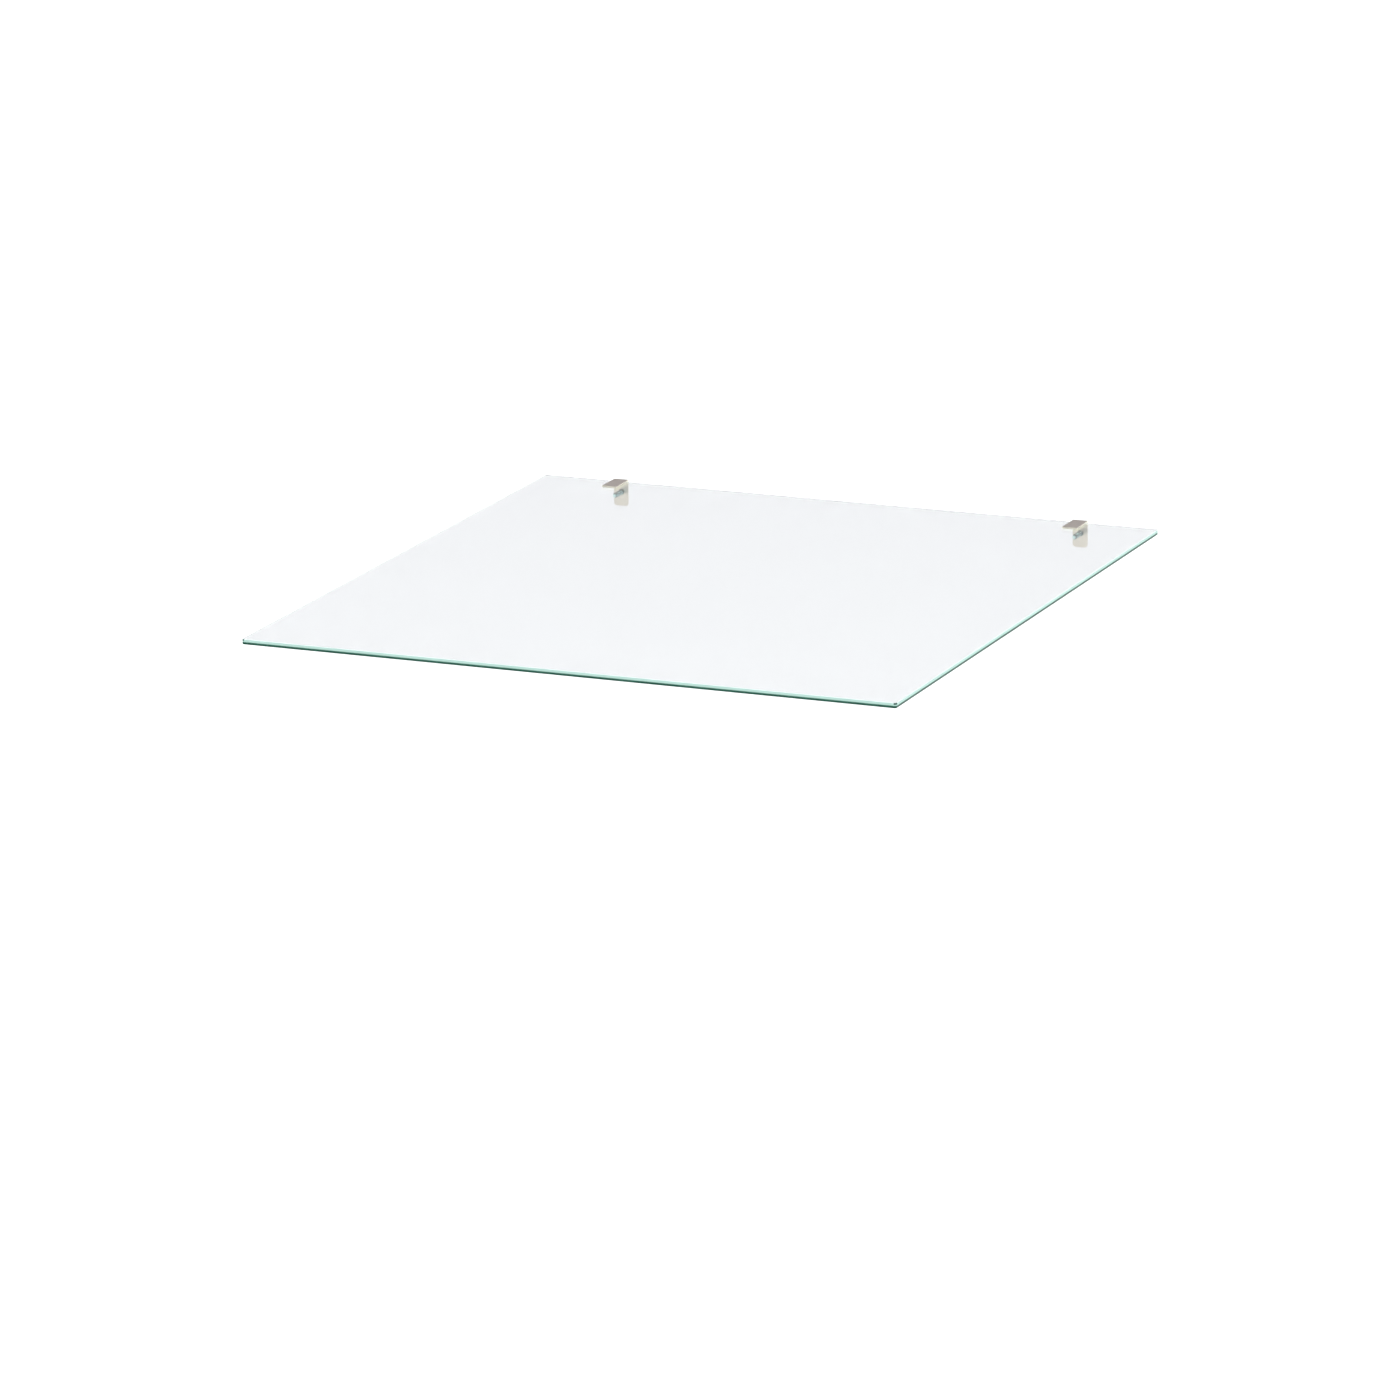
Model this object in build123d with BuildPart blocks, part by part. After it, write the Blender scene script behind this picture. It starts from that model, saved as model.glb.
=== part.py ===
from build123d import *
import os

# Glass shelf top held at its back edge by two hook brackets, each with one screw.
# Millimetres: X along the back edge, +Y towards the wall, +Z up. The origin is midway between
# the two screws, on their axis, in the plane where the brackets bear on the carrying board.

os.makedirs("parts", exist_ok=True)

# the board that carries the glass (not part of this object)
BOARD_THICKNESS = 16.0

# glass pane
GLASS_WIDTH = 512.0
GLASS_DEPTH = 580.0
GLASS_THICKNESS = 4.0
GLASS_CORNER_RADIUS = 2.0
GLASS_ARRIS = 0.6
GLASS_BACK_GAP = 0.3  # clearance to the flanges
GLASS_BOTTOM_Z = BOARD_THICKNESS / 2  # the screws enter at half the board's height
GLASS_TOP_Z = GLASS_BOTTOM_Z + GLASS_THICKNESS
GLASS_CENTRE_Y = -GLASS_BACK_GAP - GLASS_DEPTH / 2

# hook brackets, each bent from one strip
BRACKET_SPACING = 384.0
BRACKET_WIDTH = 12.0
STRIP_THICKNESS = 1.0
BRACKET_REACH = 25.0  # from the bearing plane to the front of the lip
BRACKET_HEIGHT = 24.5
BRACKET_ABOVE_GLASS = 1.5
LIP_GAP = 0.05  # between the lip's edge and the glass
BACK_BEND_RADIUS = 1.5
LIP_BEND_RADIUS = 1.2
INNER_BEND_RADIUS = 0.4
FOOT_CORNER_RADIUS = 2.5
SCREW_HOLE_RADIUS = 2.5
BRACKET_TOP_Z = GLASS_TOP_Z + BRACKET_ABOVE_GLASS
BRACKET_BOTTOM_Z = BRACKET_TOP_Z - BRACKET_HEIGHT

# pan-head screws with a blunt tip, the thread drawn as rings
SCREW_LENGTH = 16.0  # below the head
THREAD_RADIUS = 2.0
ROOT_RADIUS = 1.45
THREAD_PITCH = 1.4
THREAD_FLANK = 0.35
THREAD_CREST = 0.3
TIP_RADIUS = 1.1
TIP_LENGTH = 1.15
HEAD_RADIUS = 3.9
HEAD_RIM = 0.8
HEAD_HEIGHT = 2.4
RECESS_SPAN = 4.2
RECESS_SLOT = 0.9
RECESS_DEPTH = 1.5
HEAD_UNDERSIDE_Y = STRIP_THICKNESS
TIP_Y = HEAD_UNDERSIDE_Y - SCREW_LENGTH
HEAD_TOP_Y = HEAD_UNDERSIDE_Y + HEAD_HEIGHT
DOME_HEIGHT = HEAD_HEIGHT - HEAD_RIM
DOME_RADIUS = (HEAD_RADIUS**2 + DOME_HEIGHT**2) / (2 * DOME_HEIGHT)

SIDES = {"left": -BRACKET_SPACING / 2, "right": BRACKET_SPACING / 2}


def strip_section():
    """Corners of the bent strip seen from the side, as (y, z)."""
    front, back = -BRACKET_REACH, STRIP_THICKNESS
    underside = BRACKET_TOP_Z - STRIP_THICKNESS
    lip_edge = GLASS_TOP_Z + LIP_GAP
    return [
        (front, lip_edge),
        (front, BRACKET_TOP_Z),
        (back, BRACKET_TOP_Z),
        (back, BRACKET_BOTTOM_Z),
        (0, BRACKET_BOTTOM_Z),
        (0, underside),
        (front + STRIP_THICKNESS, underside),
        (front + STRIP_THICKNESS, lip_edge),
    ]


def thread_outline():
    """Points along the shank from the tip to the head's underside, as (radius, y)."""
    points = [(0, TIP_Y), (TIP_RADIUS, TIP_Y), (ROOT_RADIUS, TIP_Y + TIP_LENGTH)]
    ring = TIP_Y + TIP_LENGTH + THREAD_FLANK
    while ring + THREAD_PITCH < HEAD_UNDERSIDE_Y:
        points += [
            (ROOT_RADIUS, ring),
            (THREAD_RADIUS, ring + THREAD_FLANK),
            (THREAD_RADIUS, ring + THREAD_FLANK + THREAD_CREST),
            (ROOT_RADIUS, ring + 2 * THREAD_FLANK + THREAD_CREST),
        ]
        ring += THREAD_PITCH
    return points + [(ROOT_RADIUS, HEAD_UNDERSIDE_Y)]


# one toughened pane with dubbed corners and ground edges
with BuildPart() as glass_panel:
    with BuildSketch(Plane.XY.offset(GLASS_BOTTOM_Z)):
        with Locations((0, GLASS_CENTRE_Y)):
            RectangleRounded(GLASS_WIDTH, GLASS_DEPTH, GLASS_CORNER_RADIUS)
    extrude(amount=GLASS_THICKNESS)
    chamfer(glass_panel.faces().filter_by(Axis.Z).edges(), length=GLASS_ARRIS)
glass_panel.part.label = "glass_panel"
export_step(glass_panel.part, "parts/glass_panel.step")

for side, side_x in SIDES.items():
    # the bracket hooks over the back of the pane and hangs down behind the board
    with BuildPart() as bracket:
        with BuildSketch(Plane.YZ.offset(side_x - BRACKET_WIDTH / 2)) as section:
            with BuildLine():
                Polyline(*strip_section(), close=True)
            make_face()
            # in this sketch the local Y axis is the height
            inner, outer = section.vertices().group_by(Axis.Y)[-2:]
            fillet(inner, INNER_BEND_RADIUS)
            fillet(outer.sort_by(Axis.X)[0], LIP_BEND_RADIUS)
            fillet(outer.sort_by(Axis.X)[-1], BACK_BEND_RADIUS)
        extrude(amount=BRACKET_WIDTH)
        fillet(bracket.edges().filter_by(Axis.Y).group_by(Axis.Z)[0], FOOT_CORNER_RADIUS)
        with BuildSketch(Plane.XZ.offset(-STRIP_THICKNESS)):
            with Locations((side_x, 0)):
                Circle(SCREW_HOLE_RADIUS)
        extrude(amount=STRIP_THICKNESS, mode=Mode.SUBTRACT)
    bracket.part.label = f"bracket_{side}"
    export_step(bracket.part, f"parts/bracket_{side}.step")

    # the screw enters from behind and its shank stands out forwards, below the glass
    with BuildPart() as screw:
        with BuildSketch(Plane.XY.move(Location((side_x, 0, 0)))):
            with BuildLine():
                rim = (HEAD_RADIUS, HEAD_UNDERSIDE_Y)
                rim_top = (HEAD_RADIUS, HEAD_UNDERSIDE_Y + HEAD_RIM)
                Polyline(*thread_outline(), rim, rim_top)
                RadiusArc(rim_top, (0, HEAD_TOP_Y), -DOME_RADIUS)
                Line((0, HEAD_TOP_Y), (0, TIP_Y))
            make_face()
        revolve(axis=Axis((side_x, 0, 0), (0, 1, 0)))
        with BuildSketch(Plane.XZ.offset(-HEAD_TOP_Y)):
            with Locations((side_x, 0)):
                Rectangle(RECESS_SPAN, RECESS_SLOT)
                Rectangle(RECESS_SLOT, RECESS_SPAN)
        extrude(amount=RECESS_DEPTH, mode=Mode.SUBTRACT)
    screw.part.label = f"screw_{side}"
    export_step(screw.part, f"parts/screw_{side}.step")
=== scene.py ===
import math

import bmesh
import bpy
from mathutils import Matrix, Vector


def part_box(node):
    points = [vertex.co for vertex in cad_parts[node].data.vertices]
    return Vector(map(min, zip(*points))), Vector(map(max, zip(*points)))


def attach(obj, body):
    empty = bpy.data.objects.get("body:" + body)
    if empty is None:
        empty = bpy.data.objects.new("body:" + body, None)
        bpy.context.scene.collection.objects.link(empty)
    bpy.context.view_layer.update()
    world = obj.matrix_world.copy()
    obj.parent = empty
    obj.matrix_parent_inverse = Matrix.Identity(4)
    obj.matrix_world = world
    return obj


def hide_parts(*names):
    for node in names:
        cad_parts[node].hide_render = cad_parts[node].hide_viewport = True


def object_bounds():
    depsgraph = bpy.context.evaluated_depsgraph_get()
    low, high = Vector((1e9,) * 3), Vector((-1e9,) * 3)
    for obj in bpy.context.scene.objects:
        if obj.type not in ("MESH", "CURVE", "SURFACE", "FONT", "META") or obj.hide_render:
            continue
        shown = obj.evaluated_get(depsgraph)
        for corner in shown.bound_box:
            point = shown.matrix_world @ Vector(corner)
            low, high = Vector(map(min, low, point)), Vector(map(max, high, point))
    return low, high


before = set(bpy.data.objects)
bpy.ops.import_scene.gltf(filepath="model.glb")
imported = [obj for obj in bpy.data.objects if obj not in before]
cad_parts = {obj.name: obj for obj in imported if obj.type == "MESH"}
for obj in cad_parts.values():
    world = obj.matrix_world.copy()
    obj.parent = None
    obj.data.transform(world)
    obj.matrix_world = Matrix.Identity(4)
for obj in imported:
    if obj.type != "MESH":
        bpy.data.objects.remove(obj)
cad_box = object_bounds()
MM = 0.001
BLACK = (0, 0, 0)
WHITE = (1, 1, 1)
GLASS_IOR = 1.52


def direction(azimuth, elevation):
    """Unit vector towards an azimuth from the front and an elevation, both in radians."""
    return Vector(
        (
            math.sin(azimuth) * math.cos(elevation),
            -math.cos(azimuth) * math.cos(elevation),
            math.sin(elevation),
        )
    )


# ---------------------------------------------------------------- shader helpers
def new_material(name):
    material = bpy.data.materials.new(name)
    material.use_nodes = True
    nodes = material.node_tree.nodes
    return material, nodes, material.node_tree.links, nodes["Principled BSDF"]


def add(nodes, kind, **values):
    node = nodes.new(kind)
    for key, value in values.items():
        if key in node.inputs:
            node.inputs[key].default_value = value
        else:
            setattr(node, key, value)
    return node


def noise(nodes, links, source, scale, stretch=(1, 1, 1), detail=3.0, rough=0.5):
    """Noise over the object's own coordinates, stretched along the axes."""
    mapping = add(nodes, "ShaderNodeMapping")
    mapping.inputs["Scale"].default_value = stretch
    texture = add(nodes, "ShaderNodeTexNoise", Scale=scale, Detail=detail, Roughness=rough)
    links.new(source.outputs["Object"], mapping.inputs["Vector"])
    links.new(mapping.outputs["Vector"], texture.inputs["Vector"])
    return texture.outputs["Fac"]


def ramp(nodes, links, source, stops):
    """Colours between stops, each a position and a colour, in rising order."""
    node = add(nodes, "ShaderNodeValToRGB")
    elements = node.color_ramp.elements
    first, *middle, last = stops
    for element, (position, colour) in zip(elements, (first, last)):
        element.position = position
        element.color = (*colour, 1)
    for position, colour in middle:
        elements.new(position).color = (*colour, 1)
    links.new(source, node.inputs["Fac"])
    return node.outputs["Color"]


def spread(nodes, links, source, low, high):
    """A value from 0 to 1 stretched to run from low to high."""
    node = add(nodes, "ShaderNodeMapRange")
    node.inputs["To Min"].default_value = low
    node.inputs["To Max"].default_value = high
    links.new(source, node.inputs["Value"])
    return node.outputs["Result"]


def set_clear(shader):
    shader.inputs["Base Color"].default_value = (1, 1, 1, 1)
    shader.inputs["Roughness"].default_value = 0.0
    shader.inputs["IOR"].default_value = GLASS_IOR
    shader.inputs["Transmission Weight"].default_value = 1.0


def glass_material():
    """Clear glass, for the pane's top and bottom faces."""
    material, _, _, shader = new_material("clear_glass")
    set_clear(shader)
    return material


def edge_material(name, bottom, top, stops):
    """The ground edge, with a colour that changes over its height: painted shade below and painted
    highlights above.

    Met from inside the pane, its flat band is tinted glass and its two arrises scatter the light.
    """
    material, nodes, links, outside = new_material(name)
    outside.inputs["Roughness"].default_value = 0.25
    outside.inputs["IOR"].default_value = GLASS_IOR
    outside.inputs["Specular IOR Level"].default_value = 0.08
    outside.inputs["Transmission Weight"].default_value = 0.2
    place = add(nodes, "ShaderNodeTexCoord")
    split = add(nodes, "ShaderNodeSeparateXYZ")
    height = add(nodes, "ShaderNodeMapRange")
    height.inputs["From Min"].default_value = bottom
    height.inputs["From Max"].default_value = top
    links.new(place.outputs["Object"], split.inputs["Vector"])
    links.new(split.outputs["Z"], height.inputs["Value"])
    # Painted shade and highlights: the base colour runs from dark at the bottom to pale at the top,
    # in place of the edge's own shading.
    colour = ramp(nodes, links, height.outputs["Result"], stops)
    links.new(colour, outside.inputs["Base Color"])
    tinted = add(nodes, "ShaderNodeBsdfPrincipled")
    set_clear(tinted)
    tinted.inputs["Base Color"].default_value = (0.70, 0.86, 0.80, 1)
    matt = add(nodes, "ShaderNodeBsdfTranslucent", Color=(0.97, 0.99, 0.98, 1))
    band = [(0.09, WHITE), (0.11, BLACK), (0.89, BLACK), (0.91, WHITE)]
    inside = add(nodes, "ShaderNodeMixShader")
    links.new(ramp(nodes, links, height.outputs["Result"], band), inside.inputs["Fac"])
    links.new(tinted.outputs["BSDF"], inside.inputs[1])
    links.new(matt.outputs["BSDF"], inside.inputs[2])
    side = add(nodes, "ShaderNodeNewGeometry")
    mix = add(nodes, "ShaderNodeMixShader")
    links.new(side.outputs["Backfacing"], mix.inputs["Fac"])
    links.new(outside.outputs["BSDF"], mix.inputs[1])
    links.new(inside.outputs["Shader"], mix.inputs[2])
    links.new(mix.outputs["Shader"], nodes["Material Output"].inputs["Surface"])
    return material


def nickel_material():
    """Satin nickel on bent strip: rolling lines along the strip and a faint mottle."""
    material, nodes, links, shader = new_material("satin_nickel")
    place = add(nodes, "ShaderNodeTexCoord")
    mottle = noise(nodes, links, place, 260, detail=5)
    lines = noise(nodes, links, place, 900, stretch=(6, 0.25, 0.25), detail=4, rough=0.6)
    colour = ramp(nodes, links, mottle, [(0.3, (0.76, 0.72, 0.61)), (0.7, (0.84, 0.80, 0.68))])
    links.new(colour, shader.inputs["Base Color"])
    shader.inputs["Metallic"].default_value = 1.0
    links.new(spread(nodes, links, lines, 0.22, 0.42), shader.inputs["Roughness"])
    bump = add(nodes, "ShaderNodeBump", Strength=0.25, Distance=0.00004)
    links.new(lines, bump.inputs["Height"])
    links.new(bump.outputs["Normal"], shader.inputs["Normal"])
    return material


def zinc_material():
    """Blue-passivated zinc on a small screw, with a fine grain and painted shade: near black in the
    thread's roots and flanks along the shank, bright only on the crests and at the two ends.
    """
    material, nodes, links, shader = new_material("blue_zinc")
    place = add(nodes, "ShaderNodeTexCoord")
    drift = noise(nodes, links, place, 420, detail=2)
    grain = noise(nodes, links, place, 2600, detail=3)
    split = add(nodes, "ShaderNodeSeparateXYZ")
    links.new(place.outputs["Generated"], split.inputs["Vector"])
    across = []
    for axis in "XZ":
        centred = add(nodes, "ShaderNodeMath", operation="SUBTRACT")
        centred.inputs[1].default_value = 0.5
        links.new(split.outputs[axis], centred.inputs[0])
        across.append(centred)
    flat = add(nodes, "ShaderNodeCombineXYZ")
    for centred, axis in zip(across, "XY"):
        links.new(centred.outputs["Value"], flat.inputs[axis])
    radius = add(nodes, "ShaderNodeVectorMath", operation="LENGTH")
    links.new(flat.outputs["Vector"], radius.inputs[0])
    # Painted shade: below the crest radius the colour goes near black, in the roots and flanks of
    # the thread; the tip and head ends are left out of it.
    thread = ramp(nodes, links, radius.outputs["Value"], [(0.21, BLACK), (0.255, WHITE)])
    stops = [(0.05, WHITE), (0.09, BLACK), (0.80, BLACK), (0.84, WHITE)]
    ends = ramp(nodes, links, split.outputs["Y"], stops)
    unshaded = add(nodes, "ShaderNodeMath", operation="MAXIMUM")
    links.new(thread, unshaded.inputs[0])
    links.new(ends, unshaded.inputs[1])
    bright = ramp(
        nodes,
        links,
        drift,
        [(0.3, (0.50, 0.82, 0.76)), (0.55, (0.70, 0.94, 0.90)), (0.75, (0.72, 0.84, 0.74))],
    )
    colour = add(nodes, "ShaderNodeMix", data_type="RGBA")
    # The near-black colour of the painted shade in the thread.
    colour.inputs["A"].default_value = (0.02, 0.06, 0.06, 1)
    links.new(unshaded.outputs["Value"], colour.inputs["Factor"])
    links.new(bright, colour.inputs["B"])
    links.new(colour.outputs["Result"], shader.inputs["Base Color"])
    shader.inputs["Metallic"].default_value = 1.0
    links.new(spread(nodes, links, grain, 0.10, 0.24), shader.inputs["Roughness"])
    bump = add(nodes, "ShaderNodeBump", Strength=0.2, Distance=0.00003)
    links.new(grain, bump.inputs["Height"])
    links.new(bump.outputs["Normal"], shader.inputs["Normal"])
    return material


def dress(piece, material):
    piece.data.materials.clear()
    piece.data.materials.append(material)


# ---------------------------------------------------------------- glass pane
CORNER = 2.0 * MM
CORNER_STEPS = 8
ARRIS = 0.4 * MM
ARRIS_STEPS = 3
FACE, EDGE, ROUND = range(3)  # material slots


def outline(low, high, radius):
    """Points round a rectangle with rounded corners, anticlockwise."""
    points = []
    centres = (
        (high.x - CORNER, high.y - CORNER),
        (low.x + CORNER, high.y - CORNER),
        (low.x + CORNER, low.y + CORNER),
        (high.x - CORNER, low.y + CORNER),
    )
    for quarter, (cx, cy) in enumerate(centres):
        for step in range(CORNER_STEPS + 1):
            angle = math.radians(90 * (quarter + step / CORNER_STEPS))
            points.append((cx + radius * math.cos(angle), cy + radius * math.sin(angle)))
    return points


def build_pane():
    """The pane as rings of points, from its top face down over the two rounded arrises."""
    low, high = (Vector(c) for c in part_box("glass_panel"))
    rings = []
    for step in range(ARRIS_STEPS + 1):
        turn = math.radians(90 * step / ARRIS_STEPS)
        rings.append((ARRIS * (1 - math.sin(turn)), high.z - ARRIS * (1 - math.cos(turn))))
    below = [(inset, low.z + high.z - z) for inset, z in reversed(rings)]
    mesh = bmesh.new()
    loops = []
    for inset, z in rings + below:
        loops.append([mesh.verts.new((x, y, z)) for x, y in outline(low, high, CORNER - inset)])
    top = mesh.faces.new(loops[0])
    bottom = mesh.faces.new(list(reversed(loops[-1])))
    count = len(loops[0])
    for level, (upper, lower) in enumerate(zip(loops, loops[1:])):
        for i in range(count):
            j = (i + 1) % count
            face = mesh.faces.new((upper[i], lower[i], lower[j], upper[j]))
            corner = i % (CORNER_STEPS + 1) != CORNER_STEPS
            face.smooth = corner or level != ARRIS_STEPS
            face.material_index = ROUND if corner else EDGE
    for face in (top, bottom):
        face.smooth = False
        face.material_index = FACE
    data = bpy.data.meshes.new("glass_pane")
    mesh.normal_update()
    mesh.to_mesh(data)
    mesh.free()
    pane = bpy.data.objects.new("glass_pane", data)
    bpy.context.scene.collection.objects.link(pane)
    return pane


# ---------------------------------------------------------------- screws
THREAD_R = 2.0 * MM
ROOT_R = 1.45 * MM
PITCH = 1.4 * MM
TIP_R = 1.1 * MM
TIP_LENGTH = 1.15 * MM
RUN_OUT = 0.6 * MM  # where the thread fades under the head
FLANK_FOOT = 0.72  # from the middle of the crest, in half pitches
FLANK = 0.5  # in half pitches
HEAD_R = 3.9 * MM
HEAD_RIM = 0.8 * MM
HEAD_HEIGHT = 2.4 * MM
HEAD_CHAMFER = 0.25 * MM
DOME_STEPS = 9
AROUND = 64
PER_PITCH = 16
RECESS = ((-0.6, 4.6, 1.0), (1.5, 2.2, 0.7))  # depth, span and slot width, in mm


def thread_height(phase):
    """0 at the root and 1 at the crest, over one pitch."""
    distance = abs((phase % 1.0) - 0.5) * 2
    return min(1.0, max(0.0, (FLANK_FOOT - distance) / FLANK))


def shank_radius(along, angle, length):
    """Radius at a distance from the tip, round the helix."""
    if along < TIP_LENGTH:
        core = TIP_R + (ROOT_R - TIP_R) * along / TIP_LENGTH
    else:
        core = ROOT_R
    fade = min(1.0, along / (TIP_LENGTH + PITCH)) * min(1.0, (length - along) / RUN_OUT)
    height = thread_height(along / PITCH - angle / (2 * math.pi))
    return core + (THREAD_R - ROOT_R) * height * max(0.0, fade)


def ring_points(y, radius_at):
    """Points round the screw's axis at one place along it, with a radius for each angle."""
    points = []
    for i in range(AROUND):
        angle = 2 * math.pi * i / AROUND
        r = radius_at(angle)
        points.append((r * math.cos(angle), y, r * math.sin(angle)))
    return points


def shank_rings(tip_y, length):
    """Rings of points from the tip to the underside of the head."""
    rows = int(length / PITCH * PER_PITCH)
    rings = []
    for row in range(rows + 1):
        along = length * row / rows
        rings.append(ring_points(tip_y + along, lambda angle: shank_radius(along, angle, length)))
    return rings


def head_rings(underside_y):
    """Rings of points from the underside of the head to near the top of its dome."""
    dome = HEAD_HEIGHT - HEAD_RIM
    dome_r = (HEAD_R**2 + dome**2) / (2 * dome)
    profile = [(HEAD_R - HEAD_CHAMFER, 0), (HEAD_R, HEAD_CHAMFER), (HEAD_R, HEAD_RIM)]
    for step in range(1, DOME_STEPS):
        r = HEAD_R * (1 - step / DOME_STEPS)
        profile.append((r, HEAD_HEIGHT - dome_r + math.sqrt(dome_r**2 - r**2)))
    return [ring_points(underside_y + up, lambda angle: r) for r, up in profile]


def build_screw(side):
    """A pan-head screw with its tip towards the front and its thread as a helix."""
    low, high = (Vector(c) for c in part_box("screw_" + side))
    flange_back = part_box("bracket_" + side)[1][1]
    cx, cz = (low.x + high.x) / 2, (low.z + high.z) / 2
    rings = shank_rings(low.y, flange_back - low.y) + head_rings(flange_back)
    mesh = bmesh.new()
    loops = [[mesh.verts.new((cx + x, y, cz + z)) for x, y, z in ring] for ring in rings]
    for lower, upper in zip(loops, loops[1:]):
        for i in range(AROUND):
            j = (i + 1) % AROUND
            mesh.faces.new((lower[j], lower[i], upper[i], upper[j])).smooth = True
    mesh.faces.new(loops[0])
    mesh.faces.new(list(reversed(loops[-1])))
    bmesh.ops.recalc_face_normals(mesh, faces=mesh.faces)
    data = bpy.data.meshes.new("screw_body_" + side)
    mesh.to_mesh(data)
    mesh.free()
    screw = bpy.data.objects.new("screw_body_" + side, data)
    bpy.context.scene.collection.objects.link(screw)
    cut_recess(screw, Vector((cx, high.y, cz)))
    return screw


def cut_recess(screw, top):
    """A cross recess that narrows towards its floor."""
    cutter = bmesh.new()
    for turn in (0, 90):
        verts = []
        for depth, span, width in RECESS:
            for sx, sz in ((-1, -1), (1, -1), (1, 1), (-1, 1)):
                x, z = sx * span / 2 * MM, sz * width / 2 * MM
                if turn:
                    x, z = -z, x
                verts.append(cutter.verts.new((top.x + x, top.y - depth * MM, top.z + z)))
        quads = [(0, 1, 2, 3), (7, 6, 5, 4)]
        quads += [(i, i + 4, (i + 1) % 4 + 4, (i + 1) % 4) for i in range(4)]
        for quad in quads:
            cutter.faces.new([verts[i] for i in quad])
    bmesh.ops.recalc_face_normals(cutter, faces=cutter.faces)
    data = bpy.data.meshes.new("recess")
    cutter.to_mesh(data)
    cutter.free()
    tool = bpy.data.objects.new("recess", data)
    bpy.context.scene.collection.objects.link(tool)
    cut = screw.modifiers.new("recess", "BOOLEAN")
    cut.operation = "DIFFERENCE"
    cut.solver = "EXACT"
    cut.use_self = True
    cut.object = tool
    result = bpy.data.meshes.new_from_object(
        screw.evaluated_get(bpy.context.evaluated_depsgraph_get())
    )
    screw.modifiers.clear()
    screw.data = result
    bpy.data.objects.remove(tool)


# ---------------------------------------------------------------- pieces on their bodies
# Painted shade and highlights over the height of the edges, from the pane's bottom at 0 to its top
# at 1: a dark band below, a pale band above and a bright line along the top arris.
EDGE_PAINTED_SHADE_STOPS = [
    (0.0, (0.004, 0.045, 0.025)),
    (0.40, (0.008, 0.065, 0.042)),
    (0.52, (0.35, 0.57, 0.49)),
    (0.62, (0.43, 0.64, 0.57)),
    (0.80, (0.40, 0.61, 0.55)),
    (0.86, (0.33, 0.50, 0.46)),
    (0.92, (0.68, 0.84, 0.81)),
    (1.0, (0.76, 0.88, 0.86)),
]
# Painted shade at the rounded corners: mostly dark, with one pale streak and a pale line at the
# top.
CORNER_PAINTED_SHADE_STOPS = [
    (0.0, (0.004, 0.045, 0.025)),
    (0.40, (0.01, 0.07, 0.045)),
    (0.50, (0.35, 0.55, 0.49)),
    (0.60, (0.32, 0.52, 0.46)),
    (0.72, (0.015, 0.06, 0.045)),
    (0.94, (0.02, 0.07, 0.055)),
    (1.0, (0.40, 0.52, 0.49)),
]

BRACKET_EDGE = 0.25 * MM
BRACKET_EDGE_ANGLE = 50  # degrees, so that the bends stay as they are


def deburr(bracket):
    edge = bracket.modifiers.new("deburred", "BEVEL")
    edge.width = BRACKET_EDGE
    edge.segments = 3
    edge.limit_method = "ANGLE"
    edge.angle_limit = math.radians(BRACKET_EDGE_ANGLE)


pane = build_pane()
bottom, top = (corner[2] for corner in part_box("glass_panel"))
pane.data.materials.append(glass_material())
pane.data.materials.append(edge_material("ground_edge_painted_shade", bottom, top, EDGE_PAINTED_SHADE_STOPS))
pane.data.materials.append(edge_material("ground_corner_painted_shade", bottom, top, CORNER_PAINTED_SHADE_STOPS))
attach(pane, "glass")
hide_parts("glass_panel")

nickel = nickel_material()
zinc = zinc_material()
for side in ("left", "right"):
    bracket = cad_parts["bracket_" + side]
    dress(bracket, nickel)
    deburr(bracket)
    screw = build_screw(side)
    dress(screw, zinc)
    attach(screw, "brackets")
    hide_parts("screw_" + side)


# ---------------------------------------------------------------- stage, light and camera
BACK_WALL = (0.178, 0.163, 0.184)
FRONT_WALL = (0.03, 0.04, 0.045)
CEILING = (0.45, 0.45, 0.45)
HORIZON = (0.75, 0.75, 0.75)
ABOVE_HORIZON = (0.65, 0.65, 0.65)
FLOOR_DROP = 3.0
FLOOR_HALF = 40.0
FLOOR_PAINTED_SHADE_RADIUS = 6.6  # radius of the painted shade, a greyer floor round the part
FLOOR_PAINTED_SHADE_STOPS = [(0.0, (0.89, 0.925, 0.92)), (0.25, (0.60, 0.625, 0.622))]
CAMERA_AZIMUTH = math.radians(21.67)
CAMERA_ELEVATION = math.radians(14.40)
CAMERA_DISTANCE = 6.539
CAMERA_BESIDE = -0.0089
CAMERA_ABOVE = -0.0863
CAMERA_LENS = 223.42
LIGHT_BOUNCES = 64


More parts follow.
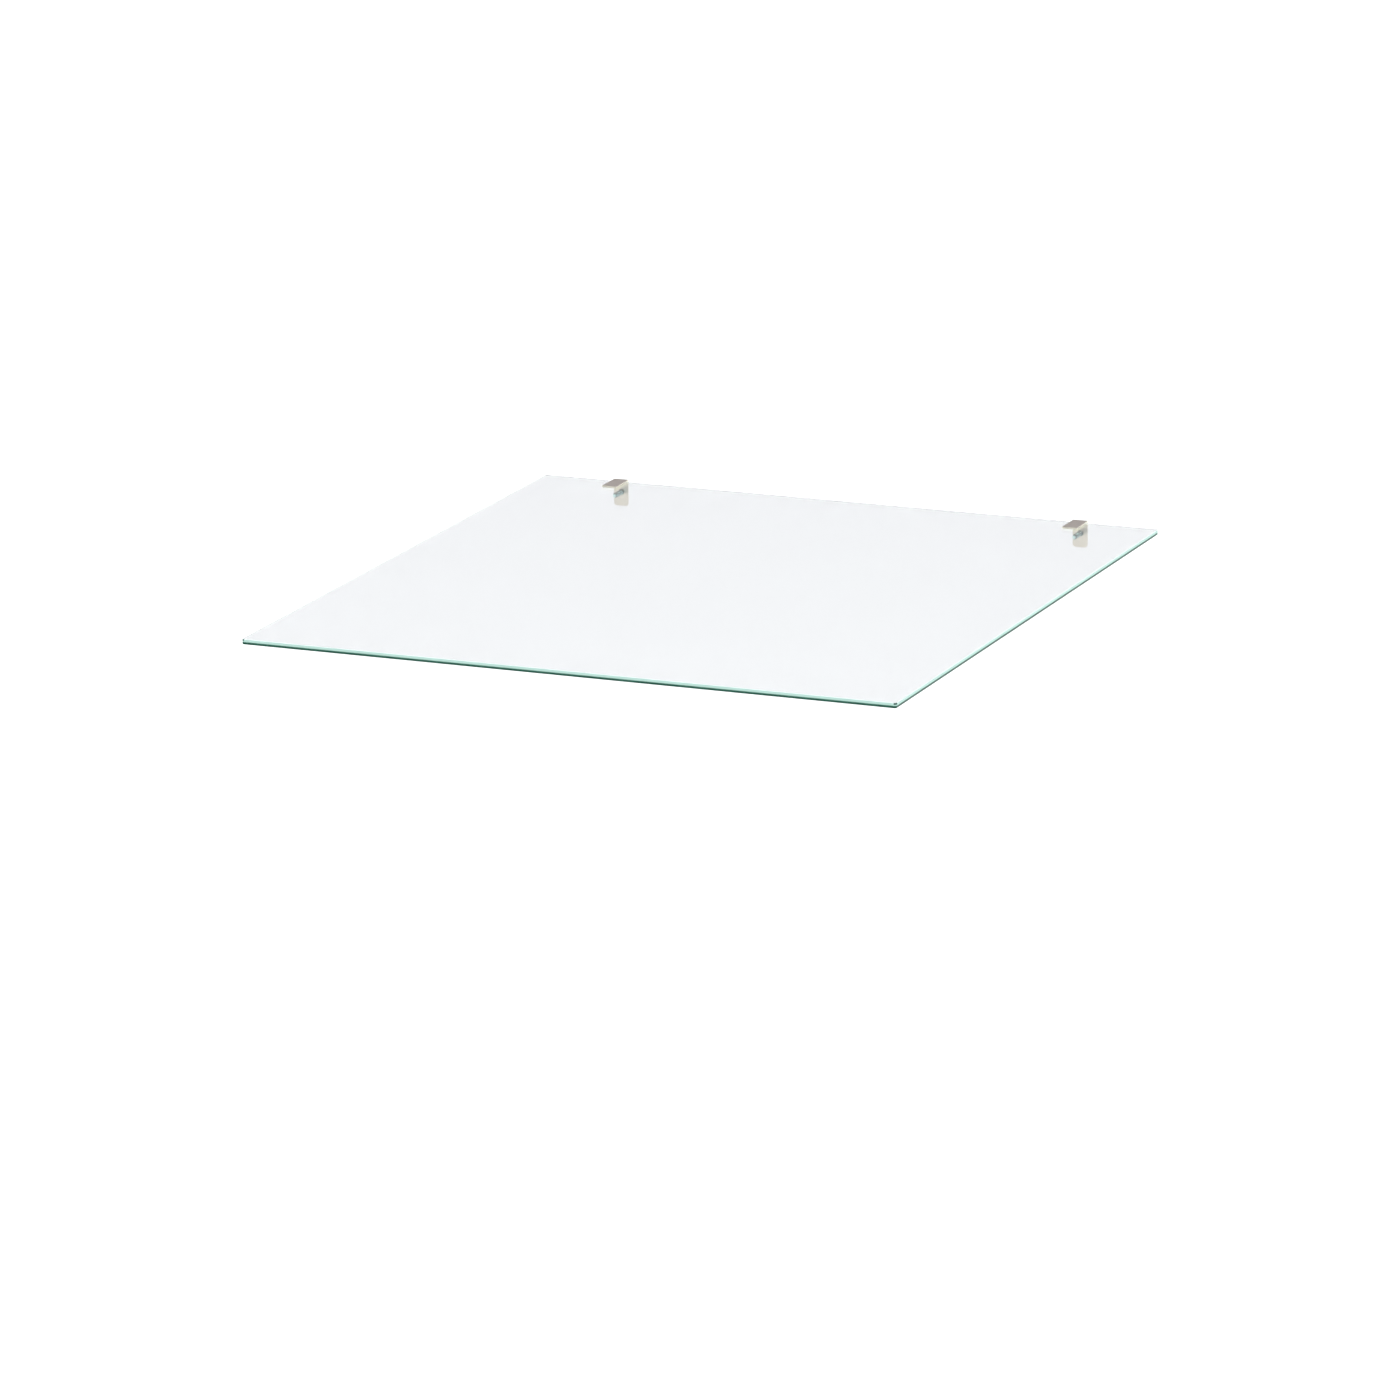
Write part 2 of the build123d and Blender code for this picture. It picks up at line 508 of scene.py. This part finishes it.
def build_floor():
    """A pale floor far below, with painted shade that makes it greyer round the part, that lets a
    view from underneath through.
    """
    z = cad_box[0][2] - FLOOR_DROP
    corners = [(x * FLOOR_HALF, y * FLOOR_HALF, z) for x, y in ((-1, -1), (1, -1), (1, 1), (-1, 1))]
    data = bpy.data.meshes.new("floor")
    data.from_pydata(corners, [], [(0, 1, 2, 3)])
    floor = bpy.data.objects.new("floor", data)
    bpy.context.scene.collection.objects.link(floor)
    material, nodes, links, shader = new_material("floor")
    place = add(nodes, "ShaderNodeTexCoord")
    shrink = add(nodes, "ShaderNodeMapping")
    shrink.inputs["Scale"].default_value = (1 / FLOOR_PAINTED_SHADE_RADIUS, 1 / FLOOR_PAINTED_SHADE_RADIUS, 0)
    shade = add(nodes, "ShaderNodeTexGradient", gradient_type="SPHERICAL")
    links.new(place.outputs["Object"], shrink.inputs["Vector"])
    links.new(shrink.outputs["Vector"], shade.inputs["Vector"])
    # Painted shadow: the floor's colour is grey under the part and pale further out.
    links.new(ramp(nodes, links, shade.outputs["Fac"], FLOOR_PAINTED_SHADE_STOPS), shader.inputs["Base Color"])
    shader.inputs["Roughness"].default_value = 1.0
    shader.inputs["Specular IOR Level"].default_value = 0.0
    clear = add(nodes, "ShaderNodeBsdfTransparent")
    side = add(nodes, "ShaderNodeNewGeometry")
    mix = add(nodes, "ShaderNodeMixShader")
    links.new(side.outputs["Backfacing"], mix.inputs["Fac"])
    links.new(shader.outputs["BSDF"], mix.inputs[1])
    links.new(clear.outputs["BSDF"], mix.inputs[2])
    links.new(mix.outputs["Shader"], nodes["Material Output"].inputs["Surface"])
    dress(floor, material)


def build_sun(name, azimuth, elevation, strength, width):
    """A soft distant light. Its angles and its width across the sky are in degrees."""
    lamp = bpy.data.lights.new(name, "SUN")
    lamp.energy = strength
    lamp.angle = math.radians(width)
    sun = bpy.data.objects.new(name, lamp)
    towards = direction(math.radians(azimuth), math.radians(elevation))
    sun.rotation_euler = towards.to_track_quat("Z", "Y").to_euler()
    bpy.context.scene.collection.objects.link(sun)


def build_world():
    """A bright horizon and ceiling, with grey walls behind the pane and a dark room in front."""
    world = bpy.data.worlds.new("studio")
    world.use_nodes = True
    nodes, links = world.node_tree.nodes, world.node_tree.links
    place = add(nodes, "ShaderNodeTexCoord")
    split = add(nodes, "ShaderNodeSeparateXYZ")
    links.new(place.outputs["Generated"], split.inputs["Vector"])
    rooms = []
    for wall, up in ((FRONT_WALL, 0.60), (BACK_WALL, 0.45)):
        stops = [
            (0.0, HORIZON),
            (0.05, ABOVE_HORIZON),
            (0.13, wall),
            (up, wall),
            (0.88, CEILING),
        ]
        rooms.append(ramp(nodes, links, split.outputs["Z"], stops))
    behind = ramp(nodes, links, split.outputs["Y"], [(0.0, BLACK), (0.25, WHITE)])
    room = add(nodes, "ShaderNodeMix", data_type="RGBA")
    links.new(behind, room.inputs["Factor"])
    links.new(rooms[0], room.inputs["A"])
    links.new(rooms[1], room.inputs["B"])
    links.new(room.outputs["Result"], nodes["Background"].inputs["Color"])
    nodes["Background"].inputs["Strength"].default_value = 2.0
    bpy.context.scene.world = world


def build_camera():
    """A long lens from the front right, looking down at the pane."""
    low, high = (Vector(c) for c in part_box("glass_panel"))
    aim = Vector(((low.x + high.x) / 2, (low.y + high.y) / 2, high.z - 0.002))
    back = direction(CAMERA_AZIMUTH, CAMERA_ELEVATION)
    right = Vector((math.cos(CAMERA_AZIMUTH), math.sin(CAMERA_AZIMUTH), 0))
    up = back.cross(right)
    data = bpy.data.cameras.new("camera")
    data.lens = CAMERA_LENS
    data.sensor_width = 36
    data.clip_end = 200
    camera = bpy.data.objects.new("camera", data)
    place = aim + back * CAMERA_DISTANCE + right * CAMERA_BESIDE + up * CAMERA_ABOVE
    turn = Matrix((right, up, back)).transposed().to_4x4()
    camera.matrix_world = Matrix.Translation(place) @ turn
    bpy.context.scene.collection.objects.link(camera)
    bpy.context.scene.camera = camera


build_floor()
build_world()
build_sun("key", azimuth=50, elevation=52, strength=3.85, width=25)
build_camera()
scene = bpy.context.scene
scene.view_settings.view_transform = "Standard"
scene.cycles.max_bounces = LIGHT_BOUNCES
scene.cycles.transmission_bounces = LIGHT_BOUNCES
scene.cycles.glossy_bounces = LIGHT_BOUNCES
